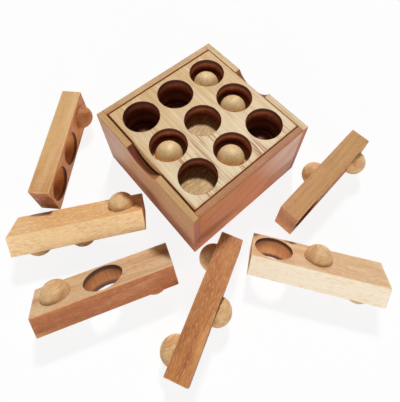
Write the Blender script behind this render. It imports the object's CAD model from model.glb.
"""Looks of the wooden golf puzzle: a box with a nine-hole lid, and sticks with turned half balls.

Everything is in metres, in the frame's own place. Each piece is modelled round the origin with its
grain along X, and its mesh is then moved to where the frame has it.
"""
import math

import bmesh
import bpy
from mathutils import Matrix, Vector


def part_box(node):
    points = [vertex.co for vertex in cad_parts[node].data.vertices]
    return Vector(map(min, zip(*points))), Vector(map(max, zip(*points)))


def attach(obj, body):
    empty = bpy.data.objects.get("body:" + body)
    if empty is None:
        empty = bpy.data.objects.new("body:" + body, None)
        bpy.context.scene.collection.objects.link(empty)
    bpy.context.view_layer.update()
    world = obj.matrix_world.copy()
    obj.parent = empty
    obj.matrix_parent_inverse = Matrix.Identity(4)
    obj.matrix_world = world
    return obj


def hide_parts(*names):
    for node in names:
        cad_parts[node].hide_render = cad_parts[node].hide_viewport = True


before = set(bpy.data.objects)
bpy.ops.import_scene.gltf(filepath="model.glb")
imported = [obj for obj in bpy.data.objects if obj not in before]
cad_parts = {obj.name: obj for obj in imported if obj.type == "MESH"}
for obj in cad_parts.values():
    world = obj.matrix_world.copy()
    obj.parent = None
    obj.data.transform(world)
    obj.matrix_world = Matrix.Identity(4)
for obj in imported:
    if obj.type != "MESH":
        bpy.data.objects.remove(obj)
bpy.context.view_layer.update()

MM = 0.001

# Sizes that the frame gives
upper_low, upper_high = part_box("boxed_stick_1")
lower_low, lower_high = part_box("boxed_stick_6")
ball_low, ball_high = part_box("boxed_stick_1_ball_3")
wall_low, wall_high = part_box("side_wall_right")
stick_size = upper_high - upper_low
pitch = (upper_low.y + upper_high.y) / 2
ball_r = (ball_high.x - ball_low.x) / 2
tenon_l = ball_high.z - ball_low.z - ball_r
wall_t = wall_high.x - wall_low.x
box_side = wall_high.y - wall_low.y
box_h = wall_high.z
cavity = box_side - 2 * wall_t
upper_mid = (upper_low.z + upper_high.z) / 2
lower_mid = (lower_low.z + lower_high.z) / 2

# Sizes of what the boxes of the nodes don't show
hole_r = 12.7 * MM
tenon_r = 4 * MM
notch_w = 31 * MM
notch_depth = 9.5 * MM
notch_offset = 1.2 * MM

# How far the edges are rounded
stick_ease = 0.6 * MM
lid_ease = 0.5 * MM
rim_ease = 0.35 * MM
box_ease = 0.8 * MM
joint_ease = 0.15 * MM

# Points that are nearer to each other than this are taken as one place
touch = 0.01 * MM

# A stick's cells: 0 is a through-hole, 1 a half ball on the upper face, -1 one on the lower face
STICKS = [[0, 0, 1], [-1, -1, 1], [1, 0, -1], [-1, 1, -1], [0, 1, -1], [0, -1, 1]]
# The solved box: cells as they lie, upper layer or not, and the lane
BOXED = [
    (STICKS[0], True, 1),
    (STICKS[1][::-1], False, 1),
    (STICKS[2][::-1], False, 0),
    ([-cell for cell in STICKS[3]], True, 0),
    (STICKS[4][::-1], True, -1),
    (STICKS[5], False, -1),
]
# Loose sticks: X and Y in pitches, heading in degrees, leaning or not
LOOSE = [
    (-2.67, 2.53, 44, False),
    (-3.3, 0.6, -29, True),
    (-3.67, -0.97, -21, True),
    (-2.37, -2.87, 26, False),
    (0.13, -3.8, -55, True),
    (1.77, -2.6, 4, False),
]


# Shader nodes

class Wire:
    """A shader socket that adds Math nodes when it is used in an expression."""

    def __init__(self, nodes, socket):
        self.nodes = nodes
        self.socket = socket

    def __add__(self, other):
        return self.nodes.math("ADD", self, other)

    def __sub__(self, other):
        return self.nodes.math("SUBTRACT", self, other)

    def __rsub__(self, other):
        return self.nodes.math("SUBTRACT", other, self)

    def __mul__(self, other):
        return self.nodes.math("MULTIPLY", self, other)

    def __truediv__(self, other):
        return self.nodes.math("DIVIDE", self, other)

    def __pow__(self, other):
        return self.nodes.math("POWER", self, other)

    def __abs__(self):
        return self.nodes.math("ABSOLUTE", self)

    __radd__ = __add__
    __rmul__ = __mul__

    def rise(self, low, high):
        """0 below low and 1 above high, with a smooth rise between."""
        sockets = {"Value": self, "From Min": low, "From Max": high}
        return self.nodes.add("MapRange", {"interpolation_type": "SMOOTHSTEP"}, sockets)

    def fall(self, low, high):
        """1 below low and 0 above high, with a smooth fall between."""
        return 1 - self.rise(low, high)


class Nodes:
    """The node tree of a material or of the world."""

    def __init__(self, owner):
        self.owner = owner
        owner.use_nodes = True
        self.tree = owner.node_tree
        self.tree.nodes.clear()

    def add(self, kind, settings=None, sockets=None, out=0):
        """Adds a node, sets it up, fills its sockets and returns one output, by number or name."""
        node = self.tree.nodes.new("ShaderNode" + kind)
        for key, value in (settings or {}).items():
            setattr(node, key, value)
        for key, value in (sockets or {}).items():
            if isinstance(value, Wire):
                self.tree.links.new(value.socket, node.inputs[key])
            else:
                node.inputs[key].default_value = value
        return Wire(self, node.outputs[out])

    def math(self, operation, *values):
        return self.add("Math", {"operation": operation}, dict(enumerate(values)))

    def mix(self, share, first, second):
        """Mixes two colours. A share of 0 is the first."""
        return self.add("Mix", {"data_type": "RGBA"}, {0: share, 6: first, 7: second}, out=2)

    def split(self, vector):
        """The three parts of a vector."""
        return [self.add("SeparateXYZ", None, {0: vector}, out=part) for part in "XYZ"]

    def local(self, spot, location=(0, 0, 0), rotation=(0, 0, 0), scale=(1, 1, 1)):
        """A spot in the coordinates of a place with this location, rotation and scale."""
        sockets = {"Vector": spot, "Location": location, "Rotation": rotation, "Scale": scale}
        return self.add("Mapping", {"vector_type": "TEXTURE"}, sockets)

    def noise(self, spot, sizes, shift=0.0, detail=2.0, turn=0.0):
        """Noise over a spot in millimetres, with blotches of about these sizes along X, Y and Z.

        turn swings the blotches round Z, in degrees.
        """
        stretched = self.local(
            spot,
            location=(-shift * sizes[0], -shift * 0.7 * sizes[1], -shift * 1.3 * sizes[2]),
            rotation=(0, 0, math.radians(turn)),
            scale=sizes,
        )
        sockets = {"Vector": stretched, "Scale": 1.0, "Detail": detail}
        return self.add("TexNoise", {"noise_dimensions": "3D"}, sockets)

    def finish_wood(self, colour, roughness, height, relief, coat):
        """Ends a wood's tree with its shader. The relief is the height's depth in metres."""
        bump = self.add("Bump", None, {"Strength": 1.0, "Distance": relief, "Height": height})
        sockets = {
            "Base Color": colour,
            "Roughness": roughness,
            "Normal": bump,
            "Coat Weight": coat,
            "Coat Roughness": 0.35,
            "Specular IOR Level": 0.25,
        }
        self.end("Material", self.add("BsdfPrincipled", None, sockets))

    def end(self, kind, shader):
        output = self.tree.nodes.new("ShaderNodeOutput" + kind)
        self.tree.links.new(shader.socket, output.inputs["Surface"])


# Camera, lights and floor

def add_camera():
    """The photograph's view, down on the corner between the front and left walls."""
    picture_w, picture_h = 400, 402
    lens_pixels = 404.8
    axis_x, axis_y = 213.2, 127.2
    data = bpy.data.cameras.new("camera")
    camera = bpy.data.objects.new("camera", data)
    bpy.context.scene.collection.objects.link(camera)
    place = Vector((-100.8, -116.6, 293.8)) * MM
    aim = Vector((15.8, 5.2, 30)) * MM
    roll = math.radians(-2.37)
    turn = (aim - place).to_track_quat("-Z", "Y").to_matrix() @ Matrix.Rotation(-roll, 3, "Z")
    camera.matrix_world = Matrix.Translation(place) @ turn.to_4x4()
    data.lens = lens_pixels / picture_h * data.sensor_width
    data.shift_x = (picture_w / 2 - axis_x) / picture_h
    data.shift_y = (axis_y - picture_h / 2) / picture_h
    bpy.context.scene.camera = camera


def add_sun(name, heading, height, energy, softness):
    """A lamp that stands at a heading from +X and a height above the horizon, in degrees."""
    data = bpy.data.lights.new(name, "SUN")
    data.energy = energy
    data.angle = math.radians(softness)
    lamp = bpy.data.objects.new(name, data)
    bpy.context.scene.collection.objects.link(lamp)
    a, e = math.radians(heading), math.radians(height)
    towards = Vector((math.cos(a) * math.cos(e), math.sin(a) * math.cos(e), math.sin(e)))
    lamp.rotation_euler = towards.to_track_quat("Z", "Y").to_euler()


def add_low_light(name, place, size, level):
    """Strip of soft light on the ground beside a wall, as from a white card, and itself unseen."""
    data = bpy.data.lights.new(name, "AREA")
    data.shape = "RECTANGLE"
    data.size, data.size_y = size
    data.energy = level * math.pi * size[0] * size[1]
    lamp = bpy.data.objects.new(name, data)
    bpy.context.scene.collection.objects.link(lamp)
    lamp.location = place
    lamp.rotation_euler = (math.pi, 0, 0)
    lamp.visible_camera = False
    lamp.visible_glossy = False


def add_world(horizon, zenith):
    """Even pale light from low down all round and less from above.

    The camera and whatever mirrors the world or lets it through show plain white instead.
    """
    world = bpy.data.worlds.new("studio")
    bpy.context.scene.world = world
    sky = Nodes(world)
    height = sky.split(sky.add("TexCoord", out="Generated"))[2]
    level = sky.add(
        "MapRange",
        {"interpolation_type": "SMOOTHSTEP"},
        {"Value": height, "From Min": 0.05, "From Max": 0.4, "To Min": horizon, "To Max": zenith},
    )
    seen = sky.add("LightPath", out="Is Camera Ray")
    for kind in ("Is Transmission Ray", "Is Glossy Ray"):
        seen = sky.math("MAXIMUM", seen, sky.add("LightPath", out=kind))
    strength = sky.add("Mix", None, {0: seen, 2: level, 3: 1.0})
    sky.end("World", sky.add("Background", None, {"Color": (1, 1, 1, 1), "Strength": strength}))


def add_floor():
    """Plain pale floor, a little brighter to the camera than to the wood."""
    half_width = 3
    whiteness = 0.88
    bm = bmesh.new()
    bmesh.ops.create_grid(bm, x_segments=1, y_segments=1, size=half_width)
    mesh = bpy.data.meshes.new("floor")
    bm.to_mesh(mesh)
    bm.free()
    floor = bpy.data.objects.new("floor", mesh)
    bpy.context.scene.collection.objects.link(floor)
    coat = Nodes(bpy.data.materials.new("floor"))
    paint = coat.add("BsdfDiffuse", None, {"Color": (0.9, 0.9, 0.9, 1)})
    white = coat.add("Emission", None, {"Color": (1, 1, 1, 1), "Strength": 1.0})
    seen = coat.add("LightPath", out="Is Camera Ray") * whiteness
    coat.end("Material", coat.add("MixShader", None, {0: seen, 1: paint, 2: white}))
    mesh.materials.append(coat.owner)


# Woods

def tone(red, green, blue):
    """A display colour, 0 to 255, as the linear colour that a shader takes."""
    def linear(value):
        v = value / 255
        return v / 12.92 if v <= 0.04045 else ((v + 0.055) / 1.055) ** 2.4
    return (linear(red), linear(green), linear(blue), 1.0)


class Wood(Nodes):
    """Satin wood with its grain along the piece's own X, laid on in layers.

    place puts the piece where it lies, and size is its own size.
    """

    def __init__(self, name, place, size, look):
        super().__init__(bpy.data.materials.new(name))
        self.look = look
        self.turn = place.to_quaternion()
        self.half = size / 2 / MM
        self.spot = self.local(
            self.add("TexCoord", out="Object"),
            location=place.translation,
            rotation=place.to_euler("XYZ"),
            scale=(MM, MM, MM),
        )
        self.grain = self.local(self.spot, rotation=(0, look["slant"], 0))
        self.x, self.y, self.z = self.split(self.spot)

    def grain_noise(self, sizes, shift, detail=2.0):
        return self.noise(self.grain, sizes, self.look["seed"] + shift, detail)

    def tone(self, key):
        return tone(*self.look[key])

    def lay(self, share, layer):
        """Covers a share of the colour so far with a colour or with one of the look's tones."""
        layer = self.tone(layer) if isinstance(layer, str) else layer
        self.colour = self.mix(share, self.colour, layer)

    def lay_ground(self):
        """Tones of faces, sides and ends, which may change along the piece and low down."""
        look, half = self.look, self.half
        x, y, z = self.x, self.y, self.z
        on_face = abs(z).rise(half.z - look["face_reach"] - 0.3, half.z - look["face_reach"])
        on_end = abs(x).rise(half.x - 0.45, half.x - 0.15)
        border = x + y * look["far_skew"] + z * look["far_slant"]
        self.far = (border / half.x).rise(*look["far_from"])
        uneven = (self.grain_noise((60, 20, 20), 27) - 0.5) * 0.6
        low = (z / half.z + uneven).fall(*look["low_from"])
        side = self.mix(low, self.tone("side"), self.tone("side_low"))
        side = self.mix(self.far, side, self.tone("side_far"))
        face = self.mix(self.far, self.tone("face"), self.tone("face_far"))
        self.colour = self.mix(on_end, self.mix(on_face, side, face), self.tone("end"))

    def lay_clouds(self):
        """Broad clouds of lighter and darker wood."""
        self.cloud = self.grain_noise((38, 9, 9), 0)
        share = (self.cloud - 0.5) * self.look["cloud"]
        self.lay(share.rise(0, 0.5), "dark")
        self.lay((0 - share).rise(0, 0.5), "light")

    def lay_fine_lines(self):
        """Short fine lines, the dark ones in patches."""
        look = self.look
        patch = self.grain_noise((42, 13, 13), 21).rise(0.38, 0.6)
        fine = self.grain_noise(look["fine_size"], 19, detail=1.0).rise(0.52, 0.59)
        pale = self.grain_noise(look["fine_size"], 23, detail=1.0).rise(0.52, 0.68)
        self.lay(pale * look["pale"], "light")
        self.lay(fine * patch * ((1 - self.far * look["fine_fade"]) * look["fine"]), "line")

    def lay_growth(self):
        """Year rings round a pith outside the piece, long thin streaks and short dark pores."""
        look = self.look
        grain_y, grain_z = self.split(self.grain)[1:]
        pith_y, pith_z = look["pith"]
        wander = (self.grain_noise((70, 22, 22), 3) - 0.5) * look["wander"]
        distance = ((grain_y - pith_y) ** 2 + (grain_z - pith_z) ** 2) ** 0.5 + wander
        year = self.math("FRACT", distance / look["ring_gap"])
        late = year.rise(0.45, 0.92) * year.fall(0.93, 1.0)
        fade = self.grain_noise((45, 3.5, 3.5), 5).rise(0.36, 0.62)
        streak = self.grain_noise(look["streak_size"], 7, detail=3.0)
        pore = self.grain_noise((3.6, 0.42, 0.42), 11, detail=1.0)
        self.rings = late * fade * look["rings"]
        self.streaks = streak.rise(0.56, 0.74) * look["streaks"]
        self.pores = pore.rise(0.6, 0.74) * look["pores"]
        self.lay(self.rings, "line")
        self.lay(self.streaks, "line")
        self.lay(self.pores, "pore")

    def lay_figure(self):
        """Fine silvery figure across the grain."""
        look = self.look
        figure = self.noise(
            self.spot, look["figure_size"], look["seed"] + 13, turn=look["figure_turn"],
        )
        self.lay(figure.rise(0.48, 0.7) * look["figure"], "light")

    def lay_edges(self):
        """Handled edges have a tone of their own.

        Near an edge, two of the three gaps to the faces are small.
        """
        gap_x, gap_y, gap_z = (
            size - abs(way) for size, way in zip(self.half, (self.x, self.y, self.z))
        )
        least = self.math("MINIMUM", self.math("MINIMUM", gap_x, gap_y), gap_z)
        most = self.math("MAXIMUM", self.math("MAXIMUM", gap_x, gap_y), gap_z)
        edge = (gap_x + gap_y + gap_z - least - most).fall(0.3, self.look["edge_reach"])
        self.lay(edge * self.look["edge"], "rim")

    def lay_cuts(self):
        """Browner wood in a wall's finger notch and on its inner side, which faces +Y."""
        look, half = self.look, self.half
        x, y, z = self.x, self.y, self.z
        notch_floor = half.z - notch_depth / MM
        past_outer_side = y.rise(0.4 - half.y, 0.8 - half.y)
        in_notch = z.fall(half.z - 0.5, half.z - 0.2) * z.rise(notch_floor - 2, notch_floor - 1)
        between_ends = abs(x).fall(half.x - 1, half.x - 0.7)
        cut = self.mix(x.rise(-12, 6), self.tone("cut"), self.tone("cut_far"))
        self.lay(past_outer_side * in_notch * between_ends * look["notch"], cut)
        self.lay(y.rise(half.y - 0.1, half.y - 0.04) * look["inner"], "inner_tone")

    def lay_bores(self, cells):
        """Scorched bores, and a darker collar of wood round the half balls.

        cells are a stick's cells, or an empty list for a board with holes everywhere.
        """
        look, half = self.look, self.half
        x, y, z = self.x, self.y, self.z
        step = pitch / MM

        def in_lane(way, lane):
            return abs(way / step - lane).fall(0.49, 0.51)

        u = x - self.math("ROUND", x / step) * step
        v = y - self.math("ROUND", y / step) * step
        radius = (u ** 2 + v ** 2) ** 0.5
        reach = hole_r / MM + look["burn"]
        # The side of a bore towards the box's corner between the front and left walls
        corner = self.turn.inverted() @ Vector((-1, -1, 0))
        nearer = u * corner.x + v * corner.y
        collar = radius.fall(reach, reach + 0.2) * nearer.fall(-2, 2) * z.rise(0, 1)
        for column, cell in enumerate(cells):
            here = in_lane(x, column - 1)
            if cell:
                radius = radius + here * step
            if cell > 0:
                self.lay(here * collar * look["collar_share"], "collar")
        inside = radius.fall(reach, reach + 0.2)

        smoke = self.noise(self.spot, (1.6, 1.6, 9.0), look["seed"] + 17)
        deep = (half.z - z) / (2 * half.z) * look["bore_fade"] + (smoke - 0.5) * 1.2
        bore = self.mix(deep.rise(0, 0.8), self.tone("bore"), self.tone("bore_dark"))
        paler = nearer.rise(0, 6) * look["paler"]
        for column, row, less_pale, more_burnt in look["odd_holes"]:
            here = in_lane(x, column) * in_lane(y, row)
            paler = paler * (1 - here * less_pale)
            bore = self.mix(here * more_burnt, bore, self.tone("burnt"))
        bore = self.mix(paler, bore, self.tone("bore_pale"))
        # A stick is scorched from both faces, a board from above
        depth = half.z - (abs(z) if cells else z)
        scorch = depth.fall(look["scorch_depth"] * 0.6, look["scorch_depth"] * 1.4)
        bore = self.mix(scorch * 0.9, bore, self.tone("scorch"))
        self.lay(inside, bore)
        return inside


def wood(name, place, size, look, cells=None):
    """The wood of one piece. cells is None for a piece without holes."""
    layers = Wood(name, place, size, look)
    layers.lay_ground()
    layers.lay_clouds()
    layers.lay_fine_lines()
    layers.lay_growth()
    layers.lay_figure()
    layers.lay_edges()
    if look["inner"]:
        layers.lay_cuts()
    roughness = look["rough"] + layers.pores * 0.2 + (layers.cloud - 0.5) * 0.15
    coat = look["coat"]
    if cells is not None:
        inside = layers.lay_bores(cells)
        roughness = roughness + inside * 0.3
        coat = (1 - inside) * coat
    height = 0.5 - layers.pores * 0.6 - layers.streaks * 0.25 - layers.rings * 0.15
    layers.finish_wood(layers.colour, roughness, height, 0.12 * MM, coat)
    return layers.owner


def turned_wood(name, light, dark, line):
    """Wood of the half balls. The pattern is laid through all of them at once."""
    ring_gap = 1.5
    nodes = Nodes(bpy.data.materials.new(name))
    spot = nodes.local(
        nodes.add("TexCoord", out="Object"),
        rotation=(math.radians(25), math.radians(35), math.radians(15)),
        scale=(MM, MM, MM),
    )
    cloud = nodes.noise(spot, (9, 5, 5), 1).rise(0.35, 0.68)
    wander = (nodes.noise(spot, (25, 9, 9), 4) - 0.5) * 5
    year = nodes.math("FRACT", (nodes.split(spot)[1] + wander) / ring_gap)
    fade = nodes.noise(spot, (14, 4, 4), 6).rise(0.4, 0.62)
    late = year.rise(0.5, 0.92) * year.fall(0.93, 1.0) * fade
    pores = nodes.noise(spot, (1.9, 0.5, 0.5), 9, detail=1.0).rise(0.6, 0.74)
    colour = nodes.mix(cloud, tone(*light), tone(*dark))
    colour = nodes.mix(late * 0.5, colour, tone(*line))
    colour = nodes.mix(pores * 0.8, colour, tone(*line))
    height = 0.5 - pores * 0.6 - late * 0.2
    nodes.finish_wood(colour, 0.5 + pores * 0.2, height, 0.1 * MM, 0.05)
    return nodes.owner


# One kind of wood, of which each piece changes what differs. Lengths are in millimetres.
WOOD = {
    "seed": 0.0,
    # Tones of the two faces along Z, of the sides and of the ends
    "face": (206, 162, 110),
    "side": (206, 162, 110),
    "end": (190, 140, 95),
    "face_reach": 0.15,
    # Where the far tones take over, as parts of the half length, and how their border leans
    "far_from": (-1, 1),
    "far_skew": 0,
    "far_slant": 0,
    # Where the sides' low tone ends, as parts of the half height
    "low_from": (-1, 1),
    # Lighter and darker wood in clouds, lines and figure
    "cloud": 0.9,
    "light": (232, 200, 152),
    "dark": (176, 124, 76),
    "line": (160, 104, 62),
    # Short fine lines, and the share of them that is gone at the far end
    "fine": 0.3,
    "fine_size": (20, 0.95, 0.95),
    "fine_fade": 0.0,
    "pale": 0.2,
    # Year rings round the pith, how far they wander off a circle, and the slant of the grain
    "rings": 0.4,
    "ring_gap": 3.4,
    "pith": (14, -46),
    "wander": 7.0,
    "slant": 0.0,
    "streaks": 0.35,
    "streak_size": (48, 1.1, 1.1),
    "pores": 0.5,
    "pore": (120, 72, 40),
    "figure": 0.08,
    "figure_size": (1.6, 5.0, 5.0),
    "figure_turn": 0,
    "edge": 0.35,
    "edge_reach": 0.9,
    "rim": (150, 96, 56),
    # A wall's finger notch and its inner side
    "notch": 0.0,
    "cut": (108, 47, 31),
    "cut_far": (154, 100, 60),
    "inner": 0.0,
    "inner_tone": (176, 102, 62),
    # Bores: how far the burn reaches past the rim, the tones, and how fast they darken downwards
    "burn": 0.05,
    "bore": (214, 146, 88),
    "bore_dark": (180, 110, 64),
    "bore_fade": 0.3,
    "scorch": (78, 46, 44),
    "scorch_depth": 1.7,
    # The bores' paler side towards the box's corner
    "paler": 0.0,
    "bore_pale": (228, 166, 108),
    # Bores that differ: column, row, share of the pale side that is gone, and share that is burnt
    "odd_holes": (),
    "burnt": (90, 26, 22),
    "collar": (206, 116, 74),
    "collar_share": 0.0,
    "rough": 0.5,
    "coat": 0.05,
}


def look_of(**changes):
    """The kind of wood above with some of it changed.

    Where a look has no far or low tone, the near one goes on.
    """
    look = {**WOOD, **changes}
    for other, near in (("face_far", "face"), ("side_far", "side"), ("side_low", "side")):
        look.setdefault(other, look[near])
    return look


LID_LOOK = look_of(
    seed=11.0,
    face=(219, 198, 159),
    face_far=(199, 160, 100),
    face_reach=0.6,
    far_skew=-0.35,
    side=(202, 154, 98),
    end=(202, 154, 98),
    light=(230, 210, 174),
    dark=(196, 156, 100),
    line=(156, 96, 34),
    pore=(150, 100, 56),
    rim=(190, 132, 76),
    cloud=0.8,
    pith=(-60, -18),
    wander=6.0,
    ring_gap=4.2,
    rings=0.2,
    streak_size=(60, 1.7, 1.7),
    streaks=0.3,
    fine=0.9,
    fine_fade=0.65,
    fine_size=(28, 0.65, 0.65),
    pale=0.5,
    pores=0.2,
    edge=0.5,
    edge_reach=1.3,
    burn=0.16,
    bore=(170, 96, 52),
    bore_dark=(134, 64, 42),
    bore_pale=(246, 208, 160),
    paler=1.0,
    odd_holes=((0, 0, 0.75, 0.0), (-1, 1, 0.75, 0.25), (1, 1, 0.3, 0.6), (1, 0, 0.0, 0.35)),
    scorch=(58, 24, 25),
    scorch_depth=3.8,
    bore_fade=0.8,
)
CUP_LOOK = look_of(seed=19.0, face=(196, 148, 96))
BASE_LOOK = look_of(seed=23.0, face=(204, 162, 112), streaks=0.3)
LEFT_WALL_LOOK = look_of(
    seed=31.0,
    face=(190, 148, 90),
    side=(184, 142, 106),
    side_far=(184, 152, 137),
    side_low=(158, 98, 74),
    far_slant=-0.45,
    far_from=(-0.3, -0.8),
    low_from=(-0.8, 0.15),
    end=(166, 106, 90),
    light=(224, 186, 140),
    dark=(176, 120, 80),
    line=(140, 88, 58),
    rim=(150, 92, 54),
    notch=1.0,
    inner=1.0,
    cloud=0.4,
    pith=(-30, 30),
    rings=0.3,
    streaks=0.25,
    pores=0.3,
    pale=0.1,
)
RIGHT_WALL_LOOK = {
    **LEFT_WALL_LOOK,
    "seed": 34.0,
    "face": (203, 171, 116),
    "face_far": (214, 187, 138),
    "side_far": (188, 144, 106),
}
BACK_WALL_LOOK = look_of(
    seed=38.0,
    face=(187, 148, 95),
    side=(180, 128, 88),
    inner=1.0,
    streaks=0.25,
    pale=0.1,
)
FRONT_WALL_LOOK = look_of(
    seed=41.0,
    face=(158, 102, 51),
    side=(180, 116, 79),
    side_far=(203, 175, 161),
    side_low=(200, 121, 86),
    far_slant=0.5,
    far_from=(0.1, 0.88),
    low_from=(-1.0, -0.6),
    end=(170, 106, 76),
    light=(200, 142, 96),
    dark=(172, 100, 68),
    line=(146, 76, 50),
    pore=(120, 66, 46),
    rim=(150, 86, 58),
    inner=1.0,
    inner_tone=(200, 118, 70),
    slant=math.radians(-18),
    pith=(40, -120),
    ring_gap=26.0,
    wander=16.0,
    rings=0.45,
    streak_size=(60, 6, 6),
    streaks=0.25,
    fine=0.1,
    pores=0.3,
    figure=0.15,
)
BOXED_LOOK = look_of(
    face=(184, 141, 76),
    side=(198, 150, 98),
    light=(238, 209, 154),
    dark=(170, 128, 70),
    line=(160, 114, 64),
    figure=0.8,
    figure_size=(4.5, 0.6, 0.6),
    figure_turn=14,
    bore=(146, 84, 54),
    bore_dark=(116, 64, 42),
    paler=0.6,
    scorch=(100, 46, 36),
    scorch_depth=4.5,
    burn=0.6,
    collar=(176, 120, 72),
    collar_share=1.0,
)
LOOSE_LOOKS = [
    look_of(
        seed=51.0,
        side=(206, 162, 106),
        side_far=(192, 140, 86),
        far_from=(0, -1),
        face=(190, 122, 68),
        end=(154, 88, 54),
        light=(222, 180, 128),
        dark=(188, 138, 84),
        line=(176, 118, 68),
        pore=(168, 110, 62),
        rim=(228, 184, 132),
        cloud=1.4,
        figure=0.3,
        rings=0.15,
        streaks=0.15,
        pores=0.2,
        fine=0.1,
        edge=0.5,
        scorch_depth=2.4,
    ),
    look_of(
        seed=52.0,
        side=(250, 211, 155),
        face=(206, 156, 100),
        end=(160, 98, 56),
        light=(255, 232, 188),
        dark=(230, 180, 118),
        line=(212, 154, 88),
        pore=(196, 134, 76),
        rim=(250, 220, 168),
        rings=0.12,
        streaks=0.15,
        figure=0.35,
        figure_size=(3.0, 1.2, 1.2),
        fine=0.4,
        fine_size=(3.2, 0.7, 0.7),
    ),
    look_of(
        seed=53.0,
        side=(179, 102, 50),
        side_low=(157, 86, 43),
        low_from=(-0.6, 0.6),
        face=(207, 178, 140),
        end=(200, 140, 94),
        light=(222, 168, 114),
        dark=(172, 102, 58),
        line=(146, 82, 46),
        rim=(226, 172, 120),
        cloud=1.2,
        rings=0.35,
        ring_gap=11.0,
        wander=9.0,
        streaks=0.15,
        fine_size=(5, 0.8, 0.8),
        figure=0.1,
        pith=(-26, -38),
        bore=(196, 134, 84),
        bore_dark=(160, 100, 62),
        scorch=(92, 66, 62),
        scorch_depth=3.2,
    ),
    look_of(
        seed=54.0,
        side=(186, 122, 68),
        face=(180, 118, 88),
        end=(214, 172, 150),
        light=(214, 156, 98),
        dark=(150, 86, 44),
        line=(128, 72, 40),
        pore=(116, 64, 36),
        rim=(214, 156, 104),
        cloud=1.6,
        rings=0.15,
        streak_size=(20, 1.3, 1.3),
        streaks=0.3,
        fine=0.6,
        fine_size=(4, 0.7, 0.7),
        pale=0.6,
        pores=0.4,
        figure=0.15,
        figure_size=(1.5, 1.0, 1.0),
    ),
    look_of(
        seed=55.0,
        side=(254, 237, 210),
        face=(198, 158, 114),
        end=(176, 142, 106),
        light=(255, 246, 224),
        dark=(248, 222, 184),
        line=(232, 198, 150),
        pore=(226, 186, 140),
        rim=(250, 226, 188),
        rings=0.1,
        streaks=0.3,
        streak_size=(20, 1.2, 1.2),
        fine=0.4,
        fine_size=(6, 0.7, 0.7),
        pores=0.6,
        figure=0.05,
        bore=(204, 144, 94),
        bore_dark=(170, 108, 68),
        scorch_depth=2.6,
    ),
    look_of(
        seed=56.0,
        side=(186, 138, 82),
        face=(186, 126, 88),
        end=(174, 118, 80),
        light=(200, 154, 102),
        dark=(162, 110, 66),
        line=(146, 92, 56),
        rim=(206, 158, 108),
        pith=(-2, -30),
        ring_gap=4.0,
        figure=0.1,
    ),
]
LOOSE_SLOTS = [
    "golden_wood", "pale_wood", "brown_wood", "brown_wood", "pale_wood", "golden_wood",
]
BALL_WOOD = turned_wood("turned_ball_wood", (249, 218, 167), (239, 201, 146), (180, 126, 72))
LOOSE_BALL_WOOD = turned_wood("loose_ball_wood", (220, 183, 134), (207, 162, 111), (160, 108, 62))
BROWN_BALL_WOOD = turned_wood("brown_ball_wood", (184, 122, 72), (158, 98, 54), (124, 74, 40))
DEEP_BALL_WOOD = turned_wood("deep_ball_wood", (140, 84, 62), (118, 66, 48), (92, 50, 36))
# Half balls of other wood: three in the dark of the photograph's deep holes, and two brown ones
ODD_BALL_WOODS = {
    "boxed_stick_2_ball_1": DEEP_BALL_WOOD,
    "boxed_stick_3_ball_3": DEEP_BALL_WOOD,
    "boxed_stick_6_ball_3": DEEP_BALL_WOOD,
    "loose_stick_1_ball_3": BROWN_BALL_WOOD,
    "loose_stick_3_ball_3": BROWN_BALL_WOOD,
}


# Shapes

def finish_piece(node, kind, bm, place, material, body):
    """Makes the piece that stands for a node, puts its mesh in place and tells the frame."""
    name = f"{node}_{kind}"
    bmesh.ops.recalc_face_normals(bm, faces=bm.faces)
    for face in bm.faces:
        face.smooth = True
    mesh = bpy.data.meshes.new(name)
    bm.to_mesh(mesh)
    bm.free()
    mesh.transform(place)
    mesh.materials.append(material)
    piece = bpy.data.objects.new(name, mesh)
    bpy.context.scene.collection.objects.link(piece)
    even = piece.modifiers.new("even shading", "WEIGHTED_NORMAL")
    even.keep_sharp = True
    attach(piece, body)
    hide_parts(node)


def middle(edge):
    return (edge.verts[0].co + edge.verts[1].co) / 2


def sharp_edges(bm):
    least_angle = 1.0
    return [edge for edge in bm.edges if edge.is_manifold and edge.calc_face_angle() > least_angle]


def ease_edges(bm, edges, width, segments=3):
    """Rounds these edges."""
    bmesh.ops.bevel(
        bm, geom=edges, offset=width, segments=segments, profile=0.5, affect="EDGES", material=-1,
    )


def thicken(bm, reach):
    """Makes a block of a flat sheet by drawing its faces along a vector."""
    raised = bmesh.ops.extrude_face_region(bm, geom=list(bm.faces))["geom"]
    verts = [part for part in raised if isinstance(part, bmesh.types.BMVert)]
    bmesh.ops.translate(bm, verts=verts, vec=reach)


def add_cell(bm, low, high, centre, drilled):
    """One rectangle of a block's lower face, with a hole in it where it is drilled."""
    side_cuts = 15
    corners = [(low.x, low.y), (high.x, low.y), (high.x, high.y), (low.x, high.y)]
    face = bm.faces.new([bm.verts.new((x, y, 0)) for x, y in corners])
    bmesh.ops.subdivide_edges(bm, edges=face.edges, cuts=side_cuts)
    if drilled:
        outline = list(face.edges)
        bmesh.ops.delete(bm, geom=[face], context="FACES_ONLY")
        round_segments = 4 * (side_cuts + 1)
        spot = Matrix.Translation((*centre, 0))
        ring = bmesh.ops.create_circle(bm, segments=round_segments, radius=hole_r, matrix=spot)
        rim = list({edge for vert in ring["verts"] for edge in vert.link_edges})
        bmesh.ops.bridge_loops(bm, edges=outline + rim)


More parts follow.
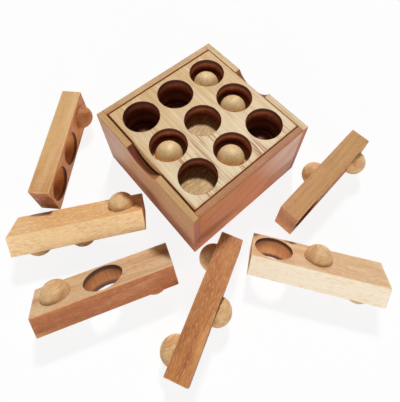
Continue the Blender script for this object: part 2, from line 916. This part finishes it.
def drilled_block(size, columns, rows, drilled, ease):
    """Block round the origin with a hole in each drilled (column, row), a pitch apart."""
    half = size / 2
    rim_margin = MM
    bm = bmesh.new()
    for i in range(columns):
        for j in range(rows):
            centre = Vector(((i - (columns - 1) / 2) * pitch, (j - (rows - 1) / 2) * pitch))
            low = Vector((
                -half.x if i == 0 else centre.x - pitch / 2,
                -half.y if j == 0 else centre.y - pitch / 2,
            ))
            high = Vector((
                half.x if i == columns - 1 else centre.x + pitch / 2,
                half.y if j == rows - 1 else centre.y + pitch / 2,
            ))
            add_cell(bm, low, high, centre, (i, j) in drilled)
    bmesh.ops.remove_doubles(bm, verts=bm.verts, dist=touch)
    thicken(bm, (0, 0, size.z))
    bmesh.ops.translate(bm, verts=bm.verts, vec=(0, 0, -half.z))
    bmesh.ops.recalc_face_normals(bm, faces=bm.faces)

    def at_hole(edge):
        return all(
            abs(vert.co.x) < half.x - rim_margin and abs(vert.co.y) < half.y - rim_margin
            for vert in edge.verts
        )

    ease_edges(bm, [edge for edge in sharp_edges(bm) if at_hole(edge)], rim_ease)
    ease_edges(bm, [edge for edge in sharp_edges(bm) if not at_hole(edge)], ease)
    return bm


def half_ball():
    """Half ball on its tenon, pointing up, with the faint rings that the lathe left."""
    ring_depth = 0.02 * MM
    ring_gap = 1.3 * MM
    tenon_ease = 0.4 * MM
    foot_ease = 0.2 * MM
    first_angle = 1.2
    steps = 45
    outline = [
        (0, -tenon_l),
        (tenon_r - tenon_ease, -tenon_l),
        (tenon_r, -tenon_l + tenon_ease),
        (tenon_r, 0),
        (ball_r - foot_ease, 0),
    ]
    for i in range(steps + 1):
        angle = math.radians(first_angle + (90 - first_angle) * i / steps)
        wave = math.cos(angle * ball_r / ring_gap * 2 * math.pi)
        radius = ball_r - ring_depth * (1 + wave) / 2
        outline.append((radius * math.cos(angle), radius * math.sin(angle)))
    bm = bmesh.new()
    verts = [bm.verts.new((x, 0, z)) for x, z in outline]
    edges = [bm.edges.new(pair) for pair in zip(verts, verts[1:])]
    bmesh.ops.spin(
        bm, geom=verts + edges, cent=(0, 0, 0), axis=(0, 0, 1), angle=2 * math.pi, steps=64,
        use_merge=True,
    )
    bmesh.ops.remove_doubles(bm, verts=bm.verts, dist=0.002 * MM)
    return bm


def plain_block(size, at_outer_form, ease):
    """Block round the origin. at_outer_form says whether an edge lies at the box's outer form."""
    bm = bmesh.new()
    bmesh.ops.create_cube(bm, size=1, matrix=Matrix.Diagonal((*size, 1)))
    ease_edges(bm, [edge for edge in bm.edges if at_outer_form(edge)], ease)
    ease_edges(bm, sharp_edges(bm), joint_ease, segments=2)
    return bm


def notched_wall(size):
    """Side wall, its outer face at -Y, with a round finger notch in its top edge."""
    notch_r = ((notch_w / 2) ** 2 + notch_depth ** 2) / (2 * notch_depth)
    half_sweep = math.asin(notch_w / 2 / notch_r)
    half = size / 2
    centre = Vector((notch_offset, -half.y, half.z + notch_r - notch_depth))
    bm = bmesh.new()
    start = bm.verts.new((notch_offset - notch_w / 2, -half.y, half.z))
    swept = bmesh.ops.spin(
        bm, geom=[start], cent=centre, axis=(0, 1, 0), angle=-2 * half_sweep, steps=32,
    )
    end = next(part for part in swept["geom_last"] if isinstance(part, bmesh.types.BMVert))
    corners = [(half.x, half.z), (half.x, -half.z), (-half.x, -half.z), (-half.x, half.z)]
    path = [end] + [bm.verts.new((x, -half.y, z)) for x, z in corners] + [start]
    for pair in zip(path, path[1:]):
        bm.edges.new(pair)
    bmesh.ops.contextual_create(bm, geom=list(bm.edges))
    thicken(bm, (0, size.y, 0))
    bmesh.ops.recalc_face_normals(bm, faces=bm.faces)

    def at_outer_form(edge):
        spot = middle(edge)
        gaps = [abs(abs(spot.x) - half.x), abs(spot.y + half.y), abs(abs(spot.z) - half.z)]
        return sum(gap < touch for gap in gaps) > 1

    ease_edges(bm, [edge for edge in sharp_edges(bm) if at_outer_form(edge)], box_ease)
    ease_edges(bm, sharp_edges(bm), joint_ease, segments=2)
    return bm


# Places

def quarter_turns(count):
    return Matrix.Rotation(math.radians(90 * count), 4, "Z")


def place_in_box(upper, lane):
    """The upper layer lies along X and the lower one along Y."""
    if upper:
        return Matrix.Translation((0, lane * pitch, upper_mid))
    return Matrix.Translation((lane * pitch, 0, lower_mid)) @ quarter_turns(1)


def place_on_ground(x, y, heading, leaning):
    """A leaning stick stands on its lower back edge and a half ball, the others on a plain side."""
    turn = Matrix.Rotation(math.radians(heading), 4, "Z")
    spot = Matrix.Translation((x * pitch, y * pitch, 0)) @ turn
    if leaning:
        lean = math.asin(ball_r / (stick_size.y / 2 - stick_ease))
        seat = Matrix.Translation((0, stick_ease - stick_size.y / 2, stick_size.z / 2))
        return spot @ Matrix.Rotation(-lean, 4, "X") @ seat
    lift = Matrix.Translation((0, 0, stick_size.y / 2))
    return spot @ lift @ Matrix.Rotation(math.radians(90), 4, "X")


# Pieces

def add_stick(name, cells, place, look, ball_wood):
    """A stick with its half balls."""
    drilled = {(column, 0) for column, cell in enumerate(cells) if cell == 0}
    bm = drilled_block(stick_size, len(cells), 1, drilled, stick_ease)
    material = wood(name + "_wood", place, stick_size, look, cells)
    finish_piece(name, "eased", bm, place, material, name)
    for column, cell in enumerate(cells):
        if cell:
            node = f"{name}_ball_{column + 1}"
            turn = Matrix.Rotation(0 if cell > 0 else math.pi, 4, "X")
            foot = ((column - 1) * pitch, 0, cell * stick_size.z / 2)
            seat = place @ Matrix.Translation(foot) @ turn
            material = ODD_BALL_WOODS.get(node, ball_wood)
            finish_piece(node, "turned", half_ball(), seat, material, name)


def add_board(name, body, look, ease, along_y):
    """A nine-hole board."""
    low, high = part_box(name)
    size = high - low
    place = Matrix.Translation((low + high) / 2)
    if along_y:
        place = place @ quarter_turns(1)
        size = Vector((size.y, size.x, size.z))
    everywhere = {(column, row) for column in range(3) for row in range(3)}
    bm = drilled_block(size, 3, 3, everywhere, ease)
    material = wood(name + "_wood", place, size, look, [])
    finish_piece(name, "eased", bm, place, material, body)


def add_wall(name, look, turns):
    """A wall, which is turned from the front by so many quarters. The side walls have a notch."""
    is_side = name.startswith("side")
    size = Vector((box_side if is_side else cavity, wall_t, box_h))
    place = quarter_turns(turns) @ Matrix.Translation((0, (wall_t - box_side) / 2, box_h / 2))

    def at_outer_form(edge):
        spot = middle(edge)
        return spot.y < 0 and abs(abs(spot.z) - box_h / 2) < touch

    bm = notched_wall(size) if is_side else plain_block(size, at_outer_form, box_ease)
    if name == "side_wall_left":
        bmesh.ops.scale(bm, vec=(-1, 1, 1), verts=bm.verts)
    material = wood(name + "_wood", place, size, look)
    finish_piece(name, "eased", bm, place, material, "box")


def add_base():
    low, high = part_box("base_board")
    place = Matrix.Translation((low + high) / 2)
    bm = plain_block(high - low, lambda edge: False, joint_ease)
    material = wood("base_board_wood", place, high - low, BASE_LOOK)
    finish_piece("base_board", "eased", bm, place, material, "box")


bpy.context.scene.view_settings.view_transform = "Standard"
add_camera()
add_world(horizon=1.4, zenith=0.02)
add_sun("key", heading=42, height=54, energy=2.8, softness=7)
add_sun("high_fill", heading=200, height=24, energy=0.3, softness=9)
add_sun("left_fill", heading=203, height=12, energy=0.6, softness=12)
add_sun("front_fill", heading=250, height=16, energy=0.9, softness=12)
card_size = (box_side + 20 * MM, 40 * MM)
card_away = box_side / 2 + card_size[1] / 2 + 2 * MM
add_low_light("low_front", (-26 * MM, -card_away, MM), card_size, 1.9)
add_low_light("low_back", (0, card_away, MM), card_size, 0.8)
add_low_light("low_left", (-card_away, -22 * MM, MM), card_size[::-1], 1.1)
add_low_light("low_right", (card_away, 0, MM), card_size[::-1], 0.8)
add_floor()

add_wall("end_wall_front", FRONT_WALL_LOOK, 0)
add_wall("side_wall_right", RIGHT_WALL_LOOK, 1)
add_wall("end_wall_back", BACK_WALL_LOOK, 2)
add_wall("side_wall_left", LEFT_WALL_LOOK, 3)
add_base()
add_board("cup_board", "box", CUP_LOOK, stick_ease, along_y=False)
add_board("lid", "lid", LID_LOOK, lid_ease, along_y=True)
for number, (cells, upper, lane) in enumerate(BOXED, start=1):
    look = {**BOXED_LOOK, "seed": 60.0 + number}
    place = place_in_box(upper, lane)
    add_stick(f"boxed_stick_{number}", cells, place, look, BALL_WOOD)
loose_sticks = zip(STICKS, LOOSE, LOOSE_LOOKS, LOOSE_SLOTS)
for number, (cells, lie, look, slot) in enumerate(loose_sticks, start=1):
    place = place_on_ground(*lie)
    add_stick(f"loose_stick_{number}", cells, place, look, LOOSE_BALL_WOOD)
